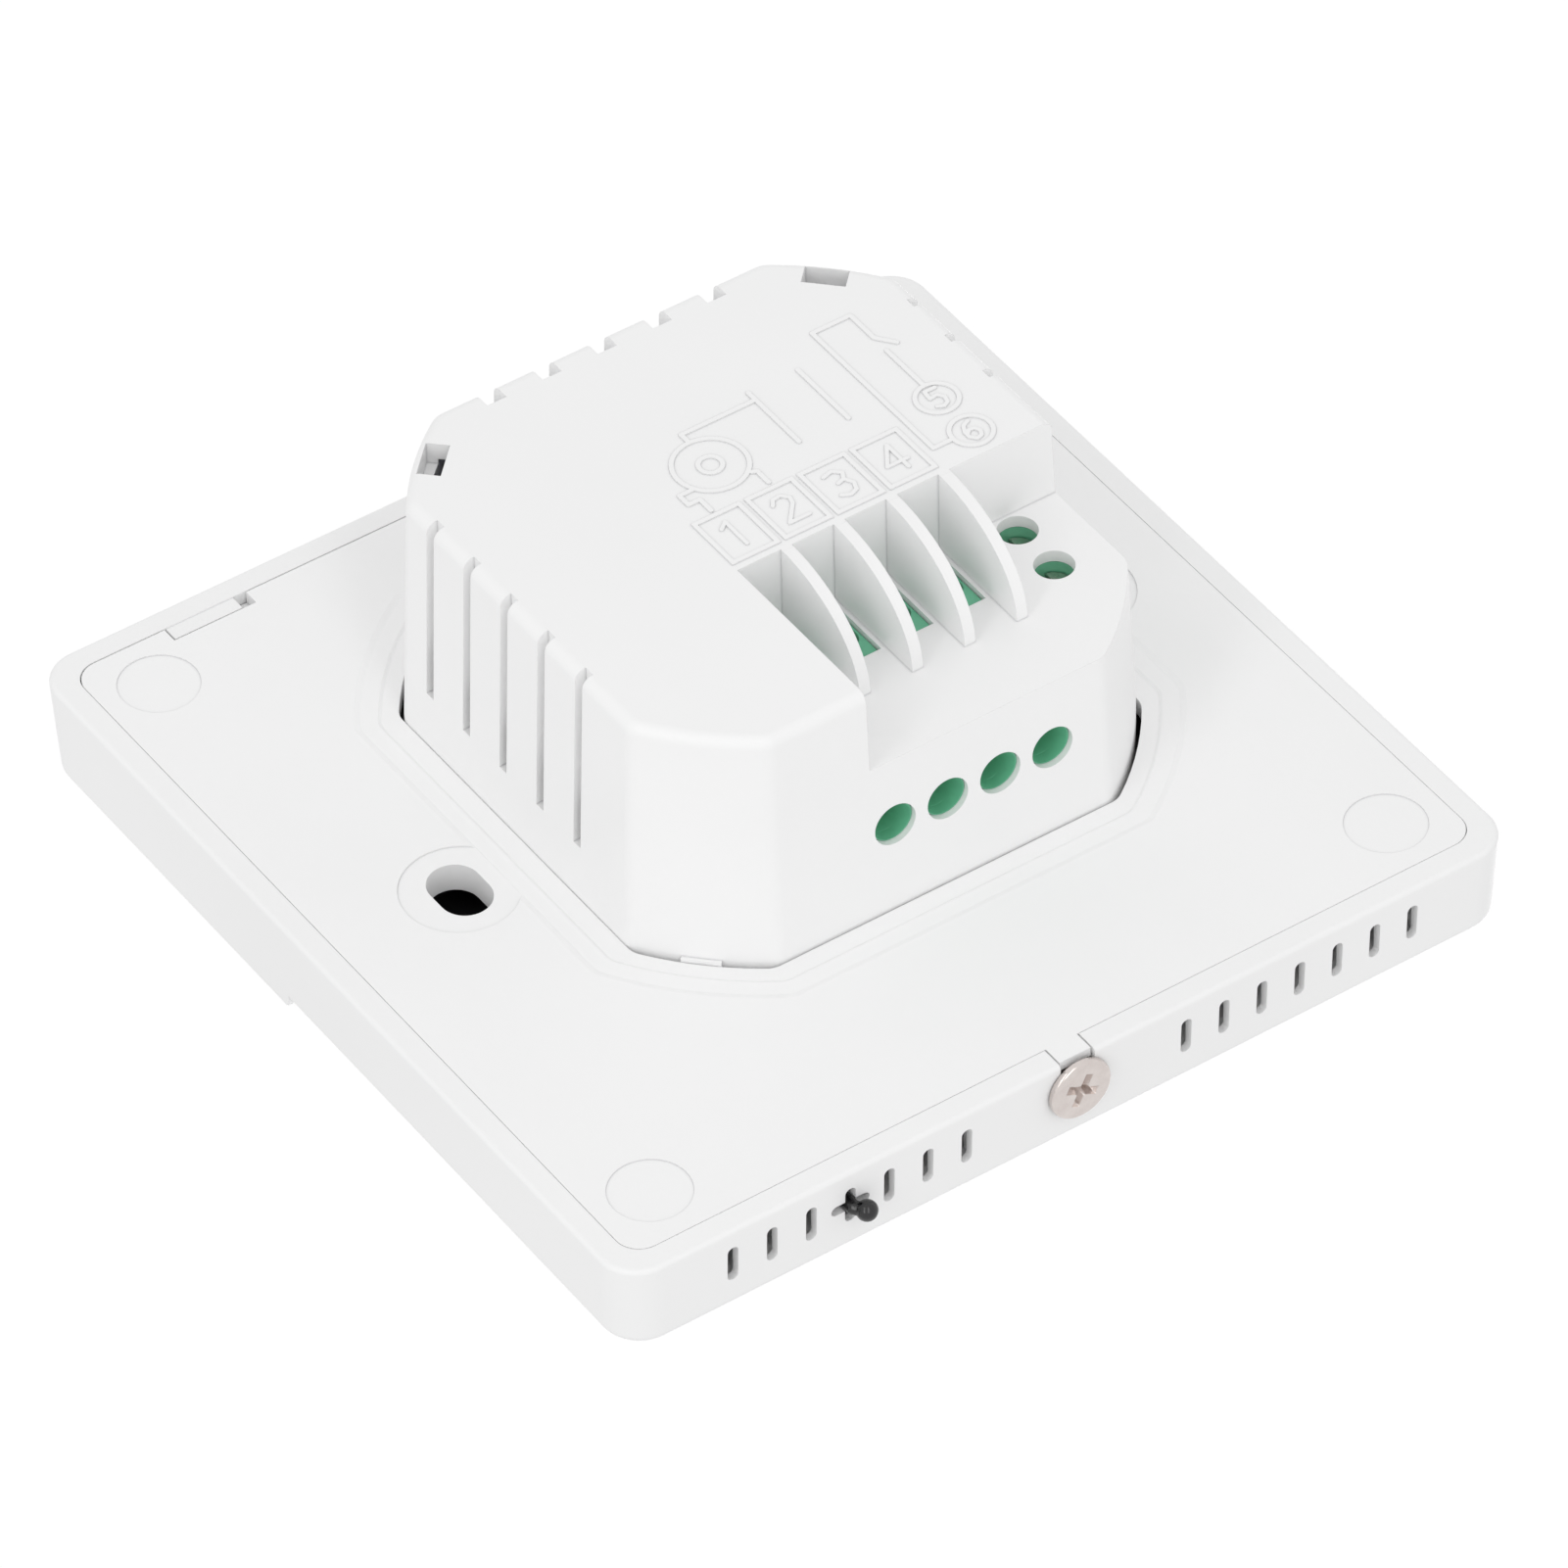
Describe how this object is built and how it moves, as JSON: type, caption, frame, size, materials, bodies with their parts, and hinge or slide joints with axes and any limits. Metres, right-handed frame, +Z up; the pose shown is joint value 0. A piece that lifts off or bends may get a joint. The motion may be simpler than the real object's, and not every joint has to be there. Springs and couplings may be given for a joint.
{
  "type": "wall thermostat",
  "caption": "Square white wall thermostat with a raised display zone, a screwed-on back plate and a deep rear housing with recessed screw terminals for a wall box.",
  "frame": {"origin": "centre of the square outline on the back face of the mounting plate, the wall plane", "axes": "+Z up the wall, +Y into the wall, +X to the right as seen from the room"},
  "size_m": [0.086, 0.0329, 0.088],
  "materials": {
    "shell_plastic": "fine satin moulding texture, white ABS",
    "housing_plastic": "satin white moulding",
    "lens": "clear smoked acrylic window",
    "lcd": "dark negative LCD glass",
    "diffuser": "milky light guide",
    "pad_foam": "conductive foam",
    "board_laminate": "green solder mask",
    "chip_epoxy": "black moulding compound",
    "shield_metal": "tinned shield can",
    "bead_epoxy": "black dipped epoxy",
    "lead_wire": "tinned lead",
    "chassis_plastic": "black moulding",
    "screw_steel": "zinc-plated screw",
    "pin_brass": "tinned brass",
    "ferrite": "sintered ferrite",
    "winding_tape": "yellow polyester tape",
    "capacitor_sleeve": "heat-shrunk sleeve",
    "varistor_coat": "blue epoxy coating",
    "fuse_case": "moulded fuse case",
    "terminal_green": "green polyamide",
    "screw_nickel": "nickel plating",
    "clamp_steel": "tinned steel cage",
    "relay_case": "blue relay housing"
  },
  "bodies": {
    "main_unit": {"front_shell": "shell_plastic", "display_lens": "lens", "lcd_panel": "lcd", "backlight": "diffuser", "touch_pads": "pad_foam", "control_board": "board_laminate", "processor_chip": "chip_epoxy", "wifi_module": "shield_metal", "board_socket": "chip_epoxy", "sensor_bead": "bead_epoxy", "sensor_leads": "lead_wire", "inner_chassis": "chassis_plastic", "chassis_screws": "screw_steel", "housing_screws": "screw_steel", "rear_housing": "housing_plastic", "power_board": "board_laminate", "board_header": "pin_brass", "transformer_core": "ferrite", "transformer_winding": "winding_tape", "filter_capacitor": "capacitor_sleeve", "output_capacitor": "capacitor_sleeve", "varistor": "varistor_coat", "fuse": "fuse_case", "bridge_rectifier": "chip_epoxy", "terminal_block_main": "terminal_green", "terminal_block_dry": "terminal_green", "terminal_contacts": "pin_brass", "relay_1": "relay_case", "relay_2": "relay_case", "relay_3": "relay_case"},
    "back_plate": {"mounting_plate": "housing_plastic", "lock_insert": "pin_brass"},
    "lock_screw": {"lock_screw": "screw_nickel"},
    "terminal_screw_1": {"terminal_screw_1": "screw_nickel"},
    "terminal_clamp_1": {"terminal_clamp_1": "clamp_steel"},
    "terminal_screw_2": {"terminal_screw_2": "screw_nickel"},
    "terminal_clamp_2": {"terminal_clamp_2": "clamp_steel"},
    "terminal_screw_3": {"terminal_screw_3": "screw_nickel"},
    "terminal_clamp_3": {"terminal_clamp_3": "clamp_steel"},
    "terminal_screw_4": {"terminal_screw_4": "screw_nickel"},
    "terminal_clamp_4": {"terminal_clamp_4": "clamp_steel"},
    "terminal_screw_5": {"terminal_screw_5": "screw_nickel"},
    "terminal_clamp_5": {"terminal_clamp_5": "clamp_steel"},
    "terminal_screw_6": {"terminal_screw_6": "screw_nickel"},
    "terminal_clamp_6": {"terminal_clamp_6": "clamp_steel"}
  },
  "joints": [
    {"name": "plate_tilt", "type": "hinge", "parent": "main_unit", "child": "back_plate", "pos_m": [0, -0.001, 0.04], "axis": [1, 0, 0], "range_deg": [0, 6]},
    {"name": "lock_screw_out", "type": "slide", "parent": "back_plate", "child": "lock_screw", "axis": [0, 0, -1], "range_m": [0, 0.0032]},
    {"name": "screw_turn_1", "type": "hinge", "parent": "main_unit", "child": "terminal_screw_1", "pos_m": [0.00134, 0.0125, -0.0055], "axis": [0, -1, 0], "range_deg": [0, 1045]},
    {"name": "clamp_rise_1", "type": "slide", "parent": "main_unit", "child": "terminal_clamp_1", "axis": [0, 1, 0], "range_m": [0, 0.0013]},
    {"name": "screw_turn_2", "type": "hinge", "parent": "main_unit", "child": "terminal_screw_2", "pos_m": [-0.00374, 0.0125, -0.0055], "axis": [0, -1, 0], "range_deg": [0, 1045]},
    {"name": "clamp_rise_2", "type": "slide", "parent": "main_unit", "child": "terminal_clamp_2", "axis": [0, 1, 0], "range_m": [0, 0.0013]},
    {"name": "screw_turn_3", "type": "hinge", "parent": "main_unit", "child": "terminal_screw_3", "pos_m": [-0.00882, 0.0125, -0.0055], "axis": [0, -1, 0], "range_deg": [0, 1045]},
    {"name": "clamp_rise_3", "type": "slide", "parent": "main_unit", "child": "terminal_clamp_3", "axis": [0, 1, 0], "range_m": [0, 0.0013]},
    {"name": "screw_turn_4", "type": "hinge", "parent": "main_unit", "child": "terminal_screw_4", "pos_m": [-0.0139, 0.0125, -0.0055], "axis": [0, -1, 0], "range_deg": [0, 1045]},
    {"name": "clamp_rise_4", "type": "slide", "parent": "main_unit", "child": "terminal_clamp_4", "axis": [0, 1, 0], "range_m": [0, 0.0013]},
    {"name": "screw_turn_5", "type": "hinge", "parent": "main_unit", "child": "terminal_screw_5", "pos_m": [-0.02223, 0.0125, -0.00352], "axis": [0, -1, 0], "range_deg": [0, 1045]},
    {"name": "clamp_rise_5", "type": "slide", "parent": "main_unit", "child": "terminal_clamp_5", "axis": [0, 1, 0], "range_m": [0, 0.0013]},
    {"name": "screw_turn_6", "type": "hinge", "parent": "main_unit", "child": "terminal_screw_6", "pos_m": [-0.02223, 0.0125, -0.0086], "axis": [0, -1, 0], "range_deg": [0, 1045]},
    {"name": "clamp_rise_6", "type": "slide", "parent": "main_unit", "child": "terminal_clamp_6", "axis": [0, 1, 0], "range_m": [0, 0.0013]}
  ],
  "couplings": [
    {"joint": "screw_turn_1", "follows": "clamp_rise_1", "rad_per_m": 13963},
    {"joint": "screw_turn_2", "follows": "clamp_rise_2", "rad_per_m": 13963},
    {"joint": "screw_turn_3", "follows": "clamp_rise_3", "rad_per_m": 13963},
    {"joint": "screw_turn_4", "follows": "clamp_rise_4", "rad_per_m": 13963},
    {"joint": "screw_turn_5", "follows": "clamp_rise_5", "rad_per_m": 13963},
    {"joint": "screw_turn_6", "follows": "clamp_rise_6", "rad_per_m": 13963}
  ]
}
